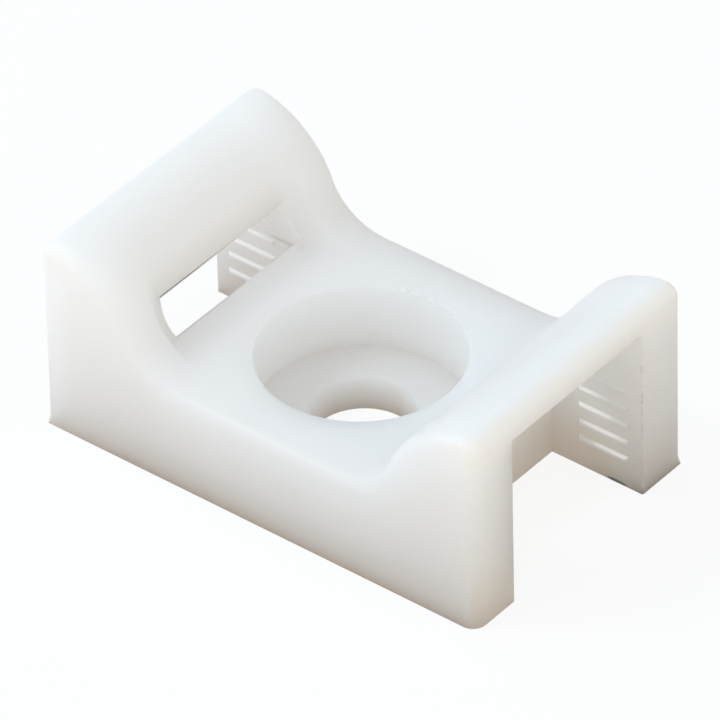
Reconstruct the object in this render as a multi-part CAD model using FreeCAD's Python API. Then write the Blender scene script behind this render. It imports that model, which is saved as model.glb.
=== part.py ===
import FreeCAD, Part
import math
import os

# Cable tie mount: a saddle-shaped screw mount, moulded in one piece of nylon.
# Millimetres. X runs along the length, from ear to ear, Y across the width, Z up.
# The origin is on the surface the mount is screwed to, on the axis of the screw hole.

# Body
LENGTH = 26.0
WIDTH = 15.8
DECK_HEIGHT = 5.5
EAR_HEIGHT = 11.08

# Ogee of each ear: a hollow arc up from the deck, and the crown
SADDLE_RADIUS = 3.25
CROWN_RADIUS = 5.6

# Screw, with a pan head that sinks below the deck
SCREW_DIAMETER = 5.0
SCREW_CLEARANCE = 0.15
HEAD_DIAMETER = 10.0
HEAD_CLEARANCE = 0.15
FLOOR_THICKNESS = 1.9
HOLE_RIM_RADIUS = 0.25
RECESS_RIM_CHAMFER = 0.08

# Cable tie, and the window it passes through in each ear
TIE_WIDTH = 9.0
TIE_CLEARANCE = 0.17
WINDOW_RISE = 2.25
WINDOW_DEPTH = 1.7
WINDOW_SILL_RADIUS = 0.08

# Narrow land that blunts the lip of the bar over each window
LAND_HEIGHT = 0.2
LAND_TILT = 25.0

# Pocket under each ear's bar
POCKET_STEP = 0.26
BAR_THICKNESS = 1.48
MOUTH_BEVEL = 0.06

# Face of the bar above each window, set back from the ogee
TIE_FACE_ANGLE = 78.0
TIE_FACE_SETBACK = 0.7
TIE_FACE_FILLET = 1.9
TIE_FACE_LIP = 1.6
SILL_WIDTH = 0.41
CHANNEL_MARGIN = 0.15
CHANNEL_BLEND = 1.2
BLEND_EASE = 0.2

# Ribs on the inner face of each cheek
RIB_COUNT = 5
RIB_PITCH = 1.0
RIB_LENGTH = 3.0
RIB_WIDTH = 0.4
RIB_CREST_WIDTH = 0.14
RIB_HEIGHT = 0.15
RIB_END_MARGIN = 0.8
RIB_FIRST_HEIGHT = 1.7

# Rounded outline of the two sides, from the base up one end, over the top and down the other.
# The corners differ: two opposite ones are full, with a slimmer flank above, the other two
# are narrow, with a fuller flank above and a small sharp foot at the base.
DECK_EDGE_RADIUS = 0.45
FULL_CORNER_RADIUS = 0.75
FULL_FLANK_RADIUS = 0.5
NARROW_CORNER_RADIUS = 0.33
NARROW_FLANK_RADIUS = 0.85
OUTER_TOP_EXCESS = 0.04
FOOT_HEIGHT = 0.5

# How far a cutter runs past the face it opens
OVERCUT = 1.0

# Smallest distance that tells two places apart
NEAR = 0.01

half_length = LENGTH / 2
half_width = WIDTH / 2
window_half_width = TIE_WIDTH / 2 + TIE_CLEARANCE
pocket_half_width = window_half_width + POCKET_STEP
channel_half_width = window_half_width + CHANNEL_MARGIN
hole_radius = SCREW_DIAMETER / 2 + SCREW_CLEARANCE
recess_radius = HEAD_DIAMETER / 2 + HEAD_CLEARANCE
face_angle = math.radians(TIE_FACE_ANGLE)
window_top = DECK_HEIGHT + WINDOW_RISE
mouth_top = EAR_HEIGHT - BAR_THICKNESS

# The outer top arc touches the crown from inside and the end face of the ear. It is a little
# larger than the roundings that run over it.
outer_top_radius = max(FULL_CORNER_RADIUS, FULL_FLANK_RADIUS, NARROW_FLANK_RADIUS) + OUTER_TOP_EXCESS
outer_arc_rise = math.sqrt((CROWN_RADIUS - outer_top_radius) ** 2 - outer_top_radius ** 2)
outer_arc_tilt = math.atan2(outer_top_radius, outer_arc_rise)
outer_arc_centre = (half_length - outer_top_radius, EAR_HEIGHT - outer_top_radius)
crown_centre = (half_length, outer_arc_centre[1] - outer_arc_rise)

# The tie face is a straight line that cuts the crown's circle by the setback
tie_face_reach = CROWN_RADIUS - TIE_FACE_SETBACK
tie_face_foot = (
    half_length
    - (tie_face_reach + (crown_centre[1] - DECK_HEIGHT) * math.cos(face_angle)) / math.sin(face_angle),
    DECK_HEIGHT,
)
half_block = tie_face_foot[0] - SILL_WIDTH

# The lip over the window: the land starts on the tie face and leans out to the lip's lowest edge
land_angle = math.radians(LAND_TILT)
land_foot = (
    tie_face_foot[0] + WINDOW_RISE / math.tan(face_angle) + LAND_HEIGHT * math.tan(land_angle),
    window_top - LAND_HEIGHT,
)


def polar(centre, radius, tilt):
    """Point on a circle in the XZ plane, its normal leaning back by tilt from straight up."""
    return (centre[0] - radius * math.sin(tilt), centre[1] + radius * math.cos(tilt))


def arc_stretch(centre, radius, tilt_from, tilt_to):
    """Three points of an arc: its start, middle and end."""
    return [polar(centre, radius, tilt) for tilt in (tilt_from, (tilt_from + tilt_to) / 2, tilt_to)]


def outer_end():
    """Stretches that both sections share: the outer top edge of the ear."""
    return arc_stretch(outer_arc_centre, outer_top_radius, outer_arc_tilt, -math.pi / 2)


def ogee_section():
    """Stretches of the ear's full ogee: the hollow arc, then the crown in three parts."""
    reach = SADDLE_RADIUS + CROWN_RADIUS
    drop = reach - (crown_centre[1] + CROWN_RADIUS - DECK_HEIGHT)
    tilt = math.acos(drop / reach)
    start_x = half_length - reach * math.sin(tilt)
    hollow_centre = (start_x, DECK_HEIGHT + SADDLE_RADIUS)
    hollow = [
        (start_x, DECK_HEIGHT),
        (
            start_x + SADDLE_RADIUS * math.sin(tilt / 2),
            hollow_centre[1] - SADDLE_RADIUS * math.cos(tilt / 2),
        ),
        polar(crown_centre, CROWN_RADIUS, tilt),
    ]
    lip_tilt = channel_section()[1]
    split_tilt = (tilt + lip_tilt) / 2
    turns = (tilt, split_tilt, lip_tilt, outer_arc_tilt)
    crown = [arc_stretch(crown_centre, CROWN_RADIUS, *pair) for pair in zip(turns, turns[1:])]
    return [hollow] + crown + [outer_end()]


def channel_section():
    """Stretches of the set-back face over the window, and the tilt where it joins the crown."""
    along = (math.cos(face_angle), math.sin(face_angle))
    inward = (math.sin(face_angle), -math.cos(face_angle))
    foot = tie_face_foot
    fillet_reach = TIE_FACE_FILLET * math.tan(face_angle / 2)
    fillet_centre = (foot[0] - fillet_reach, DECK_HEIGHT + TIE_FACE_FILLET)
    face_low = (foot[0] + fillet_reach * along[0], foot[1] + fillet_reach * along[1])
    fillet = [
        (foot[0] - fillet_reach, DECK_HEIGHT),
        (
            fillet_centre[0] + TIE_FACE_FILLET * math.sin(face_angle / 2),
            fillet_centre[1] - TIE_FACE_FILLET * math.cos(face_angle / 2),
        ),
        face_low,
    ]
    # The lip's centre is one lip radius behind the face, and inside the crown's circle by the same.
    offset = (
        foot[0] + TIE_FACE_LIP * inward[0] - crown_centre[0],
        foot[1] + TIE_FACE_LIP * inward[1] - crown_centre[1],
    )
    gap = CROWN_RADIUS - TIE_FACE_LIP
    middle = offset[0] * along[0] + offset[1] * along[1]
    rise = -middle + math.sqrt(middle ** 2 - (offset[0] ** 2 + offset[1] ** 2 - gap ** 2))
    lip_centre = (
        crown_centre[0] + offset[0] + rise * along[0],
        crown_centre[1] + offset[1] + rise * along[1],
    )
    lip_tilt = math.atan2(crown_centre[0] - lip_centre[0], lip_centre[1] - crown_centre[1])
    face_high = (foot[0] + rise * along[0], foot[1] + rise * along[1])
    lip = arc_stretch(lip_centre, TIE_FACE_LIP, face_angle, lip_tilt)
    crown = arc_stretch(crown_centre, CROWN_RADIUS, lip_tilt, outer_arc_tilt)
    return [fillet, [face_low, face_high], lip, crown, outer_end()], lip_tilt


def section_wire(stretches, y):
    """Closed outline of the whole mount at one y, both ears, from the stretches of the right one."""
    def place(point, side):
        return FreeCAD.Vector(side * point[0], y, point[1])

    def edge(points):
        if len(points) == 2:
            return Part.makeLine(points[0], points[1])
        return Part.Arc(points[0], points[1], points[2]).toShape()

    right = [[place(point, 1) for point in stretch] for stretch in stretches]
    left = [[place(point, -1) for point in reversed(stretch)] for stretch in reversed(stretches)]
    top = left + [[left[-1][-1], right[0][0]]] + right
    low_left = FreeCAD.Vector(-half_length, y, 0)
    low_right = FreeCAD.Vector(half_length, y, 0)
    sides = [[top[-1][-1], low_right], [low_right, low_left], [low_left, top[0][0]]]
    return Part.Wire([edge(points) for points in top + sides])


def slab(stretches, y_from, y_to):
    """Straight length of the body with one section."""
    face = Part.Face(section_wire(stretches, y_from))
    return face.extrude(FreeCAD.Vector(0, y_to - y_from, 0))


def body_blank():
    """Body before its cuts: channel section in the middle, full ogee at both sides, eased between."""
    ogee = ogee_section()
    channel = channel_section()[0]
    blend_end = channel_half_width + CHANNEL_BLEND
    ease = CHANNEL_BLEND * BLEND_EASE
    blank = slab(channel, -channel_half_width, channel_half_width)
    for side in (-1, 1):
        stations = (
            (channel, channel_half_width),
            (channel, channel_half_width + ease),
            (ogee, blend_end - ease),
            (ogee, blend_end),
        )
        wires = [section_wire(stretches, side * y) for stretches, y in stations]
        blank = blank.fuse(Part.makeLoft(wires, True, False))
        blank = blank.fuse(slab(ogee, side * blend_end, side * half_width))
    return blank.removeSplitter()


def outline_radius(point):
    """Rounding of a side's outline at one of its corner points."""
    narrow = point.x * point.y > 0
    if point.z < DECK_HEIGHT + NEAR and abs(point.x) < half_block:
        return DECK_EDGE_RADIUS
    if abs(point.x) > half_length - NEAR:
        return NARROW_CORNER_RADIUS if narrow else FULL_CORNER_RADIUS
    return NARROW_FLANK_RADIUS if narrow else FULL_FLANK_RADIUS


def round_sides(blank):
    """Rounds the outline of both sides, all but the base, with a radius that eases from part to part."""
    document = FreeCAD.newDocument("rounding")
    base = document.addObject("Part::Feature", "Blank")
    base.Shape = blank
    rounded = document.addObject("Part::Fillet", "Rounded")
    rounded.Base = base
    edges = []
    for number, edge in enumerate(blank.Edges, 1):
        box = edge.BoundBox
        on_side = box.YLength < NEAR and abs(abs(box.YMin) - half_width) < NEAR
        if on_side and box.ZMax > NEAR:
            start = edge.valueAt(edge.FirstParameter)
            end = edge.valueAt(edge.LastParameter)
            edges.append((number, outline_radius(start), outline_radius(end)))
    rounded.Edges = edges
    document.recompute()
    shape = rounded.Shape.copy()
    FreeCAD.closeDocument(document.Name)
    return shape


def polyhedron(rings):
    """Solid with flat faces, from the corners of each face."""
    faces = [Part.Face(Part.makePolygon(list(ring) + [ring[0]])) for ring in rings]
    return Part.makeSolid(Part.makeShell(faces))


def corner_foot(side):
    """Sharp foot of a narrow corner: a small wedge that fades out into the rounded edge above it."""
    radius = NARROW_CORNER_RADIUS
    inset = radius * (1 - math.sqrt(0.5))
    corner = FreeCAD.Vector(side * half_length, side * half_width, 0)
    along_x = corner - FreeCAD.Vector(side * radius, 0, 0)
    along_y = corner - FreeCAD.Vector(0, side * radius, 0)
    apex = corner + FreeCAD.Vector(-side * inset, -side * inset, FOOT_HEIGHT)
    return polyhedron(
        [
            (corner, along_x, along_y),
            (corner, along_x, apex),
            (along_x, along_y, apex),
            (along_y, corner, apex),
        ]
    )


def screw_cutter():
    """Stepped screw hole with its eased rims, as one turned shape."""
    rim = HOLE_RIM_RADIUS
    chamfer = RECESS_RIM_CHAMFER
    low = -OVERCUT
    high = EAR_HEIGHT + OVERCUT
    diagonal = 1 - math.sqrt(0.5)

    def at(radius, z):
        return FreeCAD.Vector(radius, 0, z)

    outline = [
        at(hole_radius + rim, FLOOR_THICKNESS),
        at(recess_radius, FLOOR_THICKNESS),
        at(recess_radius, DECK_HEIGHT - chamfer),
        at(recess_radius + chamfer, DECK_HEIGHT),
        at(recess_radius + chamfer, high),
        at(0, high),
        at(0, low),
        at(hole_radius, low),
        at(hole_radius, FLOOR_THICKNESS - rim),
    ]
    hole_arc = Part.Arc(
        outline[-1],
        at(hole_radius + rim * diagonal, FLOOR_THICKNESS - rim * diagonal),
        outline[0],
    )
    edges = [Part.makeLine(a, b) for a, b in zip(outline, outline[1:])] + [hole_arc.toShape()]
    return Part.Face(Part.Wire(edges)).revolve(FreeCAD.Vector(0, 0, 0), FreeCAD.Vector(0, 0, 1), 360)


def prism(points, half_depth):
    """Prism across the width, from an outline in the XZ plane."""
    corners = [FreeCAD.Vector(x, -half_depth, z) for x, z in points]
    face = Part.Face(Part.makePolygon(corners + corners[:1]))
    return face.extrude(FreeCAD.Vector(0, 2 * half_depth, 0))


def pocket_ceiling(x):
    """Height of the sloping ceiling of the right pocket, which starts at the lip."""
    slope = (mouth_top - land_foot[1]) / (half_length - land_foot[0])
    return land_foot[1] + slope * (x - land_foot[0])


def pocket_cutter():
    """Pocket under the right ear's bar, open outwards and downwards, with the window at its back."""
    outer = half_length + OVERCUT
    back = half_block + WINDOW_DEPTH
    window_end = back + OVERCUT
    sill = DECK_HEIGHT - POCKET_STEP
    land_end = (
        land_foot[0] - OVERCUT * math.sin(land_angle),
        land_foot[1] + OVERCUT * math.cos(land_angle),
    )
    pocket = prism(
        [
            (half_block, -OVERCUT),
            (outer, -OVERCUT),
            (outer, pocket_ceiling(outer)),
            (back, pocket_ceiling(back)),
            (back, sill),
            (half_block, sill),
        ],
        pocket_half_width,
    )
    window = prism(
        [
            (half_block, sill),
            (window_end, sill),
            (window_end, pocket_ceiling(window_end)),
            land_foot,
            land_end,
            (half_block, land_end[1]),
        ],
        window_half_width,
    )
    return pocket.fuse(window)


def mouth_cutter():
    """Narrow bevel round the mouth of the right pocket, in the end face."""
    def outline(x):
        spread = MOUTH_BEVEL + x - half_length
        y = pocket_half_width + spread
        z = pocket_ceiling(x) + spread
        corners = [(-y, -OVERCUT), (y, -OVERCUT), (y, z), (-y, z)]
        return [FreeCAD.Vector(x, each_y, each_z) for each_y, each_z in corners]

    inner = outline(half_length - 2 * MOUTH_BEVEL)
    outer = outline(half_length + MOUTH_BEVEL)
    turns = zip(inner, inner[1:] + inner[:1], outer[1:] + outer[:1], outer)
    return polyhedron([inner, outer] + list(turns))


def ease_sills(body):
    """Rounds the sill of each window, where the saddle drops into it."""
    sills = []
    for edge in body.Edges:
        box = edge.BoundBox
        level = box.XLength < NEAR and box.ZLength < NEAR and box.YLength > TIE_WIDTH
        if level and abs(abs(box.XMin) - half_block) < NEAR and box.ZMin > DECK_HEIGHT - NEAR:
            sills.append(edge)
    return body.makeFillet(WINDOW_SILL_RADIUS, sills)


def cheek_rib(z):
    """One tapered rib on the inner face of the right ear's back cheek."""
    x_end = half_length - RIB_END_MARGIN
    x_start = x_end - RIB_LENGTH
    shrink = (RIB_WIDTH - RIB_CREST_WIDTH) / 2

    def outline(y, inset):
        corners = [
            FreeCAD.Vector(x_start + inset, y, z - RIB_WIDTH / 2 + inset),
            FreeCAD.Vector(x_end - inset, y, z - RIB_WIDTH / 2 + inset),
            FreeCAD.Vector(x_end - inset, y, z + RIB_WIDTH / 2 - inset),
            FreeCAD.Vector(x_start + inset, y, z + RIB_WIDTH / 2 - inset),
        ]
        return Part.makePolygon(corners + corners[:1])

    root = outline(pocket_half_width + RIB_HEIGHT, -shrink)
    crest = outline(pocket_half_width - RIB_HEIGHT, shrink)
    return Part.makeLoft([root, crest], True, True)


def make_mount():
    """The whole mount as one solid."""
    body = round_sides(body_blank())
    body = body.fuse([corner_foot(side) for side in (-1, 1)])
    body = body.cut(screw_cutter())
    across_x = FreeCAD.Vector(1, 0, 0)
    across_y = FreeCAD.Vector(0, 1, 0)
    origin = FreeCAD.Vector(0, 0, 0)
    pocket = pocket_cutter()
    body = body.cut(pocket).cut(pocket.mirror(origin, across_x))
    body = ease_sills(body)
    mouth = mouth_cutter()
    body = body.cut(mouth).cut(mouth.mirror(origin, across_x))
    for index in range(RIB_COUNT):
        rib = cheek_rib(RIB_FIRST_HEIGHT + index * RIB_PITCH)
        pair = [rib, rib.mirror(origin, across_y)]
        body = body.fuse(pair + [each.mirror(origin, across_x) for each in pair])
    return body.removeSplitter()


os.makedirs("parts", exist_ok=True)
mount = make_mount()
mount.exportStep("parts/tie_mount.step")
print("solids", len(mount.Solids), "faces", len(mount.Faces), "valid", mount.isValid(), "volume", round(mount.Volume, 2))
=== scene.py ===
import math

import bpy
from mathutils import Matrix, Vector

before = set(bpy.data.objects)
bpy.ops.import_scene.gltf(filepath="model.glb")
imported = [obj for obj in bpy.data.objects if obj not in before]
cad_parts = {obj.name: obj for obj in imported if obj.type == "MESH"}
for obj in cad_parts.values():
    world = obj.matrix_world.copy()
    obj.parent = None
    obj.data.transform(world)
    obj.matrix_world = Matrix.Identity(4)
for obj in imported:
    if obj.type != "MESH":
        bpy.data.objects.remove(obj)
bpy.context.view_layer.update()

MM = 0.001
WHITE = (1.0, 1.0, 1.0, 1.0)

# Camera: a long lens, looking down on the mount from its front right
VIEW_AZIMUTH = math.radians(39.445)
VIEW_ELEVATION = math.radians(38.392)
VIEW_ROLL = math.radians(-1.45)
VIEW_DISTANCE = 507.83 * MM
VIEW_TARGET = Vector((-0.094, 0.012, 5.0)) * MM
LENS = 535.3
SENSOR_WIDTH = 36.0
CLIP_START = 10 * MM
CLIP_END = 10000 * MM

# Floor just under the mount: half its size, its depth, and how much of its shadow the white covers
FLOOR_HALF = 900 * MM
FLOOR_DROP = 0.02 * MM
FLOOR_LIFT = 0.86

# Light that the floor gives back, full far off, dim and warm where the mount shades it
BOUNCE_FAR = (1.15, 1.10, 1.03)
BOUNCE_NEAR = (0.36, 0.305, 0.25)
SHADE_CENTRE = Vector((5, 6, 0)) * MM
SHADE_SPAN = (17 * MM, 38 * MM)

# Core of that shade, beside the mount's right end: the share of the dim light that is left there
CORE_TONE = 0.10
CORE_CENTRE = Vector((19, 3, 0)) * MM
CORE_SPAN = (5 * MM, 11 * MM)

# Dome: its colour at three heights, and what its cool left side and warm right side add
DOME_HEIGHTS = (0.25, 0.68, 0.97)
DOME_COLOURS = ((0.42, 0.43, 0.42), (0.43, 0.455, 0.48), (0.73, 0.84, 0.93))
LEFT_AZIMUTH = math.radians(-75)
LEFT_COLOURS = ((0.20, 0.27, 0.37), (0.02, 0.09, 0.19), (0.0, 0.0, 0.0))
RIGHT_AZIMUTH = math.radians(80)
RIGHT_COLOURS = ((0.46, 0.40, 0.31), (0.60, 0.535, 0.43), (0.0, 0.0, 0.0))
SIDE_SPREAD = (0.0, 0.8)

# The dome's ramps hold its colours divided by this, and its strength gives them back
DOME_RANGE = 1.6

# Softboxes: azimuth, elevation, width, height, power and colour
SOFTBOX_DISTANCE = 500 * MM
SOFTBOXES = {
    "wide_box": (math.radians(-50), math.radians(46), 700 * MM, 290 * MM, 0.435, (0.85, 0.94, 1.0)),
    "edge_box": (math.radians(-47), math.radians(48), 110 * MM, 60 * MM, 0.42, (0.90, 0.96, 1.0)),
    "crown_box": (math.radians(-176), math.radians(50), 300 * MM, 120 * MM, 0.07, (0.90, 0.97, 1.0)),
}

# Nylon: how far light spreads in it, its gloss, and its slight cloudiness in tone and in roughness
SCATTER_REACH = 9.0 * MM
BODY_IOR = 1.53
BODY_GLOSS = 0.15
CLOUD_SCALE = 260.0
CLOUD_DETAIL = 3.0
CLOUD_STOPS = (0.3, 0.7)
CLOUD_COLOURS = ((0.984, 0.974, 0.953), (0.988, 0.979, 0.960))
CLOUD_ROUGHNESS = (0.29, 0.41)

# Faint moulded grain, and the noise that scatters small specks
GRAIN_SCALE = 5200.0
GRAIN_DETAIL = 4.0
GRAIN_STRENGTH = 0.12
GRAIN_RELIEF = 0.02 * MM
SPECK_SCALE = 5200.0
SPECK_DETAIL = 0.0

# Tones of the moulded marks and of the painted shade and highlights, and how much light still spreads
# inside under each: 1 is all of it
CROWN_DEPTH = 0.35
# Painted shade: the low parts of the end faces and pockets are darker and warmer
BASE_SHADE_COLOUR = (0.86, 0.80, 0.735)
BASE_SHADE_DEPTH = 0.6
# Painted highlight: the rib tone is lighter, standing in for the light the rib crests catch
RIB_PAINTED_HIGHLIGHT = (0.998, 0.998, 0.998)
RIB_DEPTH = 0.4
RIB_ROUGHNESS = 0.20
# Painted shade lines along the window lips and sills
LIP_PAINTED_SHADE = (0.30, 0.29, 0.28)
SILL_PAINTED_SHADE = (0.45, 0.46, 0.47)
SEAM_COLOUR = (0.90, 0.85, 0.81)
SEAM_SPECKS = (0.52, 0.60)
# Painted contact shadow on a cheek's base edge
BASE_EDGE_SHADOW_COLOUR = (0.22, 0.23, 0.21)
GLINT_ROUGHNESS = 0.20
GLINT_RELIEF = 0.05 * MM
GLINT_SPECKS = (0.45, 0.65)

# Soft edge of the boxes that hold marks, painted shade and painted highlights
ZONE_EDGE = 0.02 * MM

# Boxes that repeat in all four quarters, as a box in one: its middle and half its size; the rib box
# holds a painted highlight, the lip and sill boxes painted shade lines
RIB_ZONE = (Vector((10.7, 4.80, 3.8)) * MM, Vector((2.0, 0.11, 2.7)) * MM)
LIP_ZONE = (Vector((8.50, 0.0, 7.66)) * MM, Vector((0.10, 4.66, 0.13)) * MM)
SILL_ZONE = (Vector((7.53, 0.0, 5.74)) * MM, Vector((0.10, 4.66, 0.07)) * MM)
SEAM_ZONE = (Vector((12.97, 4.96, 4.9)) * MM, Vector((0.07, 0.07, 4.5)) * MM)

# The painted shade lines along the lip and sill run from faint to full as x times y goes between these
LINE_FADE = (-18 * MM * MM, 24 * MM * MM)
LINE_FAINTEST = 0.15

# Crowns, and the feet and pockets whose low parts get painted shade, as heights and as distances from
# the mount's middle
CROWN_RISE = (8.6 * MM, 10.0 * MM)
CROWN_REACH = (9.8 * MM, 12.2 * MM)
BASE_SHADE_RISE = (0.0, 6.0 * MM)
END_REACH = (12.2 * MM, 12.9 * MM)
POCKET_REACH = (7.3 * MM, 7.6 * MM)
CHEEK_REACH = (4.95 * MM, 5.05 * MM)

# Stretch of the recess's upper edge that glints
RIM_RADIUS = 5.19 * MM
RIM_HALF = 0.07 * MM
RIM_ZONE = (Vector((0.6, 4.85, 5.46)) * MM, Vector((2.3, 0.55, 0.08)) * MM)

# Painted contact shadow on the base edge of one cheek: its middle, half its size, and where it fades
BASE_EDGE_SHADOW_CENTRE = Vector((11.45, 4.96, 0.07)) * MM
BASE_EDGE_SHADOW_HALF = Vector((0.85, 0.15, 0.17)) * MM
BASE_EDGE_SHADOW_FADE = (0.5, 1.0)


def direction(azimuth, elevation):
    """Unit vector towards an azimuth, from the front towards the right, and an elevation."""
    return Vector((
        math.sin(azimuth) * math.cos(elevation),
        -math.cos(azimuth) * math.cos(elevation),
        math.sin(elevation),
    ))


def place_camera():
    """Camera on a sphere round its target, turned by the view's small roll."""
    back = direction(VIEW_AZIMUTH, VIEW_ELEVATION)
    level = Vector((0, 0, 1)).cross(back).normalized()
    rise = back.cross(level)
    right = math.cos(VIEW_ROLL) * level + math.sin(VIEW_ROLL) * rise
    up = back.cross(right)
    turn = Matrix((right, up, back)).transposed().to_4x4()
    data = bpy.data.cameras.new("camera")
    data.lens = LENS
    data.sensor_width = SENSOR_WIDTH
    data.clip_start = CLIP_START
    data.clip_end = CLIP_END
    camera = bpy.data.objects.new("camera", data)
    camera.matrix_world = Matrix.Translation(VIEW_TARGET + VIEW_DISTANCE * back) @ turn
    bpy.context.scene.collection.objects.link(camera)
    bpy.context.scene.camera = camera


def plug(value, socket):
    """Links another socket to this one, or sets this one to a constant."""
    if isinstance(value, bpy.types.NodeSocket):
        socket.id_data.links.new(value, socket)
    else:
        socket.default_value = value


def number_step(nodes, operation, first, second=0.0):
    """Math on one or two numbers, each a socket or a constant."""
    node = nodes.new("ShaderNodeMath")
    node.operation = operation
    plug(first, node.inputs[0])
    plug(second, node.inputs[1])
    return node.outputs["Value"]


def vector_node(nodes, operation, first, second):
    """Vector math node on one or two vectors, each a socket or a constant."""
    node = nodes.new("ShaderNodeVectorMath")
    node.operation = operation
    plug(first, node.inputs[0])
    plug(second, node.inputs[1])
    return node


def vector_step(nodes, operation, first, second=(0, 0, 0)):
    """Vector math that gives a vector."""
    return vector_node(nodes, operation, first, second).outputs["Vector"]


def vector_measure(nodes, operation, first, second=(0, 0, 0)):
    """Vector math that gives a number, such as a length or a distance."""
    return vector_node(nodes, operation, first, second).outputs["Value"]


def parts_of(nodes, vector):
    """The three coordinates of a vector."""
    split = nodes.new("ShaderNodeSeparateXYZ")
    plug(vector, split.inputs[0])
    return tuple(split.outputs)


def span(nodes, value, start, end, low=0.0, high=1.0):
    """Smooth step from low to high as a value goes from start to end."""
    node = nodes.new("ShaderNodeMapRange")
    node.interpolation_type = "SMOOTHSTEP"
    plug(value, node.inputs["Value"])
    plug(start, node.inputs["From Min"])
    plug(end, node.inputs["From Max"])
    plug(low, node.inputs["To Min"])
    plug(high, node.inputs["To Max"])
    return node.outputs["Result"]


def blend(nodes, kind, factor, base, over):
    """Mixes one value over another, as FLOAT, VECTOR or RGBA."""
    node = nodes.new("ShaderNodeMix")
    node.data_type = kind
    plug(factor, node.inputs["Factor"])
    plug(base, node.inputs["A"])
    plug(over, node.inputs["B"])
    return node.outputs["Result"]


def ramp_of(nodes, value, stops, colours):
    """Colours along a value, changing from each stop to the next."""
    ramp = nodes.new("ShaderNodeValToRGB")
    elements = ramp.color_ramp.elements
    while len(elements) < len(stops):
        elements.new(1.0)
    for element, stop, colour in zip(elements, stops, colours):
        element.position = stop
        element.color = (*colour, 1.0)
    plug(value, ramp.inputs["Fac"])
    return ramp.outputs["Color"]


def noise_of(nodes, place, scale, detail):
    """Noise at a place."""
    noise = nodes.new("ShaderNodeTexNoise")
    plug(scale, noise.inputs["Scale"])
    plug(detail, noise.inputs["Detail"])
    plug(place, noise.inputs["Vector"])
    return noise.outputs["Fac"]


def bump_of(nodes, height, strength, relief):
    """Bump node for a height, with its strength and its full relief."""
    bump = nodes.new("ShaderNodeBump")
    plug(strength, bump.inputs["Strength"])
    plug(relief, bump.inputs["Distance"])
    plug(height, bump.inputs["Height"])
    return bump


def glow_of(nodes, kind, colour, strength):
    """Background or emission shader of a colour and a strength."""
    node = nodes.new(kind)
    plug(colour, node.inputs["Color"])
    plug(strength, node.inputs["Strength"])
    return node.outputs[0]


def mix_shaders(nodes, factor, first, second):
    """Shader that goes from the first to the second as a factor goes from 0 to 1."""
    mix = nodes.new("ShaderNodeMixShader")
    plug(factor, mix.inputs["Fac"])
    plug(first, mix.inputs[1])
    plug(second, mix.inputs[2])
    return mix.outputs[0]


def seen_directly(nodes):
    """1 for the rays that show the background: camera, glossy and transmission."""
    path = nodes.new("ShaderNodeLightPath")
    shown = path.outputs["Is Camera Ray"]
    for kind in ("Is Glossy Ray", "Is Transmission Ray"):
        shown = number_step(nodes, "MAXIMUM", shown, path.outputs[kind])
    return shown


def dome_ramp(nodes, height, colours):
    """Colour of the dome by height, divided by its range."""
    scaled = [tuple(value / DOME_RANGE for value in colour) for colour in colours]
    return ramp_of(nodes, height, DOME_HEIGHTS, scaled)


def side_light(nodes, place, height, azimuth, colours):
    """Glow of one side of the dome, fading out a quarter turn from its azimuth."""
    near = vector_measure(nodes, "DOT_PRODUCT", place, direction(azimuth, 0.0))
    lean = nodes.new("ShaderNodeVectorMath")
    lean.operation = "SCALE"
    plug(dome_ramp(nodes, height, colours), lean.inputs[0])
    plug(span(nodes, near, *SIDE_SPREAD), lean.inputs["Scale"])
    return lean.outputs["Vector"]


def light_world():
    """White to the rays that show it, and a soft dome, cool at left and warm at right, to the others."""
    world = bpy.data.worlds.new("dome")
    bpy.context.scene.world = world
    world.use_nodes = True
    nodes = world.node_tree.nodes
    nodes.clear()
    place = nodes.new("ShaderNodeTexCoord").outputs["Generated"]
    height = parts_of(nodes, place)[2]
    total = dome_ramp(nodes, height, DOME_COLOURS)
    for azimuth, colours in ((LEFT_AZIMUTH, LEFT_COLOURS), (RIGHT_AZIMUTH, RIGHT_COLOURS)):
        side = side_light(nodes, place, height, azimuth, colours)
        total = vector_step(nodes, "ADD", total, side)
    dome = glow_of(nodes, "ShaderNodeBackground", total, DOME_RANGE)
    white = glow_of(nodes, "ShaderNodeBackground", WHITE, 1.0)
    out = nodes.new("ShaderNodeOutputWorld")
    plug(mix_shaders(nodes, seen_directly(nodes), dome, white), out.inputs["Surface"])


def place_softbox(name, azimuth, elevation, width, height, power, colour):
    """Soft rectangular lamp that faces the mount."""
    data = bpy.data.lights.new(name, "AREA")
    data.shape = "RECTANGLE"
    data.size = width
    data.size_y = height
    data.energy = power
    data.color = colour
    lamp = bpy.data.objects.new(name, data)
    away = direction(azimuth, elevation)
    turn = away.to_track_quat("Z", "Y").to_matrix().to_4x4()
    lamp.matrix_world = Matrix.Translation(SOFTBOX_DISTANCE * away) @ turn
    bpy.context.scene.collection.objects.link(lamp)


def floor_bounce(nodes):
    """Light that the floor gives back to the mount."""
    place = nodes.new("ShaderNodeNewGeometry").outputs["Position"]
    away = vector_measure(nodes, "DISTANCE", place, SHADE_CENTRE)
    tone = blend(nodes, "VECTOR", span(nodes, away, *SHADE_SPAN), BOUNCE_NEAR, BOUNCE_FAR)
    from_core = vector_measure(nodes, "DISTANCE", place, CORE_CENTRE)
    strength = span(nodes, from_core, *CORE_SPAN, CORE_TONE, 1.0)
    return glow_of(nodes, "ShaderNodeEmission", tone, strength)


def floor_face(nodes):
    """What is seen of the floor: white, with a soft shadow."""
    plain = nodes.new("ShaderNodeBsdfDiffuse")
    plug(WHITE, plain.inputs["Color"])
    lift = glow_of(nodes, "ShaderNodeEmission", WHITE, 1.0)
    return mix_shaders(nodes, FLOOR_LIFT, plain.outputs[0], lift)


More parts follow.
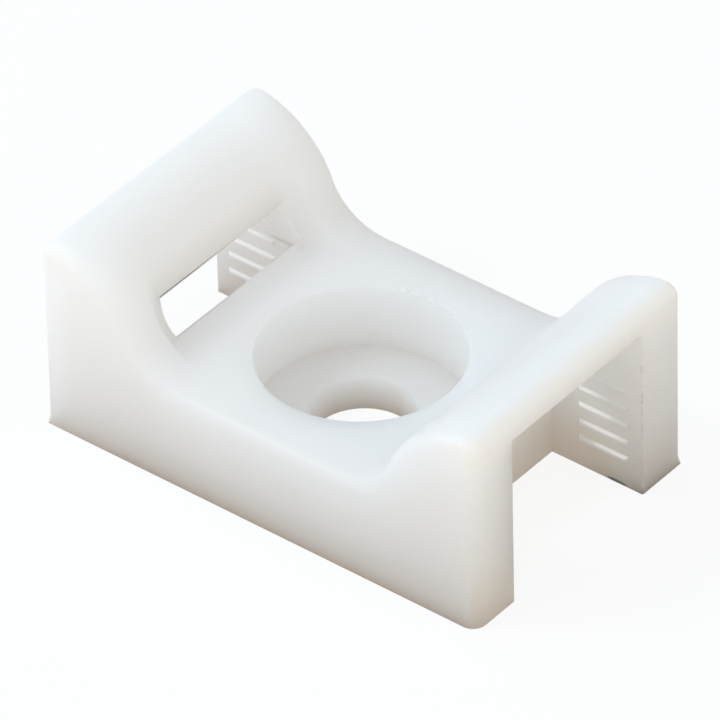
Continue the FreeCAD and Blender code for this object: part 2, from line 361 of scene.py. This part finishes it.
def floor_material():
    """White to the rays that show it, and a warm, shaded bounce to the others."""
    material = bpy.data.materials.new("floor")
    material.use_nodes = True
    nodes = material.node_tree.nodes
    nodes.clear()
    out = nodes.new("ShaderNodeOutputMaterial")
    shader = mix_shaders(nodes, seen_directly(nodes), floor_bounce(nodes), floor_face(nodes))
    plug(shader, out.inputs["Surface"])
    return material


def make_floor():
    """Plain pale floor, a square just under the mount."""
    mesh = bpy.data.meshes.new("floor")
    signs = ((-1, -1), (1, -1), (1, 1), (-1, 1))
    corners = [(FLOOR_HALF * x, FLOOR_HALF * y, -FLOOR_DROP) for x, y in signs]
    mesh.from_pydata(corners, [], [(0, 1, 2, 3)])
    mesh.materials.append(floor_material())
    floor = bpy.data.objects.new("floor", mesh)
    bpy.context.scene.collection.objects.link(floor)


def zone_mask(nodes, place, zone):
    """1 inside a box, with a short soft edge."""
    middle, half = zone
    depths = []
    for axis, coordinate in enumerate(parts_of(nodes, place)):
        off = number_step(nodes, "SUBTRACT", coordinate, middle[axis])
        depths.append(number_step(nodes, "SUBTRACT", number_step(nodes, "ABSOLUTE", off), half[axis]))
    past = number_step(nodes, "MAXIMUM", number_step(nodes, "MAXIMUM", depths[0], depths[1]), depths[2])
    return span(nodes, past, -ZONE_EDGE, 0.0, 1.0, 0.0)


def speckle(nodes, place, start, end):
    """Small scattered specks: 1 inside a speck, 0 between them."""
    return span(nodes, noise_of(nodes, place, SPECK_SCALE, SPECK_DETAIL), start, end)


def base_shade_mask(nodes, quarter):
    """Low parts of the two end faces and of the pockets, where painted shade makes the tone darker and
    warmer.
    """
    along, across, height = parts_of(nodes, quarter)
    low = span(nodes, height, *BASE_SHADE_RISE, 1.0, 0.0)
    end_face = span(nodes, along, *END_REACH)
    beyond_block = span(nodes, along, *POCKET_REACH)
    between_cheeks = span(nodes, across, *CHEEK_REACH, 1.0, 0.0)
    pocket = number_step(nodes, "MULTIPLY", beyond_block, between_cheeks)
    return number_step(nodes, "MULTIPLY", low, number_step(nodes, "MAXIMUM", end_face, pocket))


def crown_mask(nodes, quarter):
    """Outer part of each crown, where the thin bar glows less from within."""
    along, _, height = parts_of(nodes, quarter)
    high = span(nodes, height, *CROWN_RISE)
    outward = span(nodes, along, *CROWN_REACH)
    return number_step(nodes, "MULTIPLY", high, outward)


def shade_line_mask(nodes, place, quarter, zone):
    """Thin painted shade line along a lip or a sill, which fades from one end to the other."""
    along, across = parts_of(nodes, place)[:2]
    product = number_step(nodes, "MULTIPLY", along, across)
    fade = span(nodes, product, *LINE_FADE, LINE_FAINTEST, 1.0)
    return number_step(nodes, "MULTIPLY", zone_mask(nodes, quarter, zone), fade)


def seam_mask(nodes, quarter):
    """Specks along the upright edge between each end face and its pocket."""
    specks = speckle(nodes, quarter, *SEAM_SPECKS)
    return number_step(nodes, "MULTIPLY", zone_mask(nodes, quarter, SEAM_ZONE), specks)


def base_edge_shadow_mask(nodes, place):
    """Lens-shaped painted contact shadow on the base edge of one cheek."""
    off = vector_step(nodes, "SUBTRACT", place, BASE_EDGE_SHADOW_CENTRE)
    spread = vector_step(nodes, "DIVIDE", off, BASE_EDGE_SHADOW_HALF)
    return span(nodes, vector_measure(nodes, "LENGTH", spread), *BASE_EDGE_SHADOW_FADE, 1.0, 0.0)


def rim_mask(nodes, place):
    """The stretch of the recess's thin upper edge that glints."""
    radius = vector_measure(nodes, "LENGTH", vector_step(nodes, "MULTIPLY", place, (1, 1, 0)))
    off = number_step(nodes, "ABSOLUTE", number_step(nodes, "SUBTRACT", radius, RIM_RADIUS))
    ring = span(nodes, off, RIM_HALF, RIM_HALF + ZONE_EDGE, 1.0, 0.0)
    return number_step(nodes, "MULTIPLY", ring, zone_mask(nodes, place, RIM_ZONE))


def nylon_tones(nodes, place, quarter, cloud, rib_gloss_and_highlight):
    """Colour, and the share of light that spreads inside, with each moulded mark, painted shade and
    painted highlight laid over the body.
    """
    # The base tone and the lip, sill and base-edge lines are painted shade; the rib tone is a painted
    # highlight
    marks_and_painted_light = (
        (base_shade_mask(nodes, quarter), BASE_SHADE_COLOUR, BASE_SHADE_DEPTH),
        (rib_gloss_and_highlight, RIB_PAINTED_HIGHLIGHT, RIB_DEPTH),
        (shade_line_mask(nodes, place, quarter, LIP_ZONE), LIP_PAINTED_SHADE, 0.0),
        (shade_line_mask(nodes, place, quarter, SILL_ZONE), SILL_PAINTED_SHADE, 0.0),
        (seam_mask(nodes, quarter), SEAM_COLOUR, 0.0),
        (base_edge_shadow_mask(nodes, place), BASE_EDGE_SHADOW_COLOUR, 0.0),
    )
    colour = ramp_of(nodes, cloud, CLOUD_STOPS, CLOUD_COLOURS)
    depth = blend(nodes, "FLOAT", crown_mask(nodes, quarter), 1.0, CROWN_DEPTH)
    for mask, tone, share in marks_and_painted_light:
        colour = blend(nodes, "RGBA", mask, colour, (*tone, 1.0))
        depth = blend(nodes, "FLOAT", mask, depth, share)
    return colour, depth


def nylon_relief(nodes, place, rim):
    """Normal with the body's faint grain, and small facets on the rim that glints."""
    grain = noise_of(nodes, place, GRAIN_SCALE, GRAIN_DETAIL)
    body = bump_of(nodes, grain, GRAIN_STRENGTH, GRAIN_RELIEF)
    facets = number_step(nodes, "MULTIPLY", rim, speckle(nodes, place, *GLINT_SPECKS))
    edge = bump_of(nodes, facets, 1.0, GLINT_RELIEF)
    plug(body.outputs["Normal"], edge.inputs["Normal"])
    return edge.outputs["Normal"]


def make_nylon():
    """Natural nylon: milky and translucent, slightly cloudy, satin, with a faint moulded grain."""
    material = bpy.data.materials.new("natural_nylon")
    material.use_nodes = True
    nodes = material.node_tree.nodes
    shader = nodes["Principled BSDF"]
    plug((1.0, 1.0, 1.0), shader.inputs["Subsurface Radius"])
    plug(SCATTER_REACH, shader.inputs["Subsurface Scale"])
    plug(BODY_IOR, shader.inputs["IOR"])
    plug(BODY_GLOSS, shader.inputs["Specular IOR Level"])

    place = nodes.new("ShaderNodeTexCoord").outputs["Object"]
    quarter = vector_step(nodes, "ABSOLUTE", place)
    cloud = noise_of(nodes, place, CLOUD_SCALE, CLOUD_DETAIL)
    # The rib box's lighter tone is a painted highlight, its lower roughness a real gloss
    rib_gloss_and_highlight = zone_mask(nodes, quarter, RIB_ZONE)
    rim = rim_mask(nodes, place)

    colour, depth = nylon_tones(nodes, place, quarter, cloud, rib_gloss_and_highlight)
    roughness = span(nodes, cloud, 0.0, 1.0, *CLOUD_ROUGHNESS)
    roughness = blend(nodes, "FLOAT", rib_gloss_and_highlight, roughness, RIB_ROUGHNESS)
    roughness = blend(nodes, "FLOAT", rim, roughness, GLINT_ROUGHNESS)
    plug(colour, shader.inputs["Base Color"])
    plug(depth, shader.inputs["Subsurface Weight"])
    plug(roughness, shader.inputs["Roughness"])
    plug(nylon_relief(nodes, place, rim), shader.inputs["Normal"])
    return material


def dress_mount():
    """Gives the moulded body its nylon."""
    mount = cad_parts["tie_mount"]
    mount.material_slots[0].material = make_nylon()


def set_view():
    """Plain view transform, so that colours show as written."""
    bpy.context.scene.view_settings.view_transform = "Standard"


place_camera()
light_world()
for lamp_name, settings in SOFTBOXES.items():
    place_softbox(lamp_name, *settings)
make_floor()
dress_mount()
set_view()
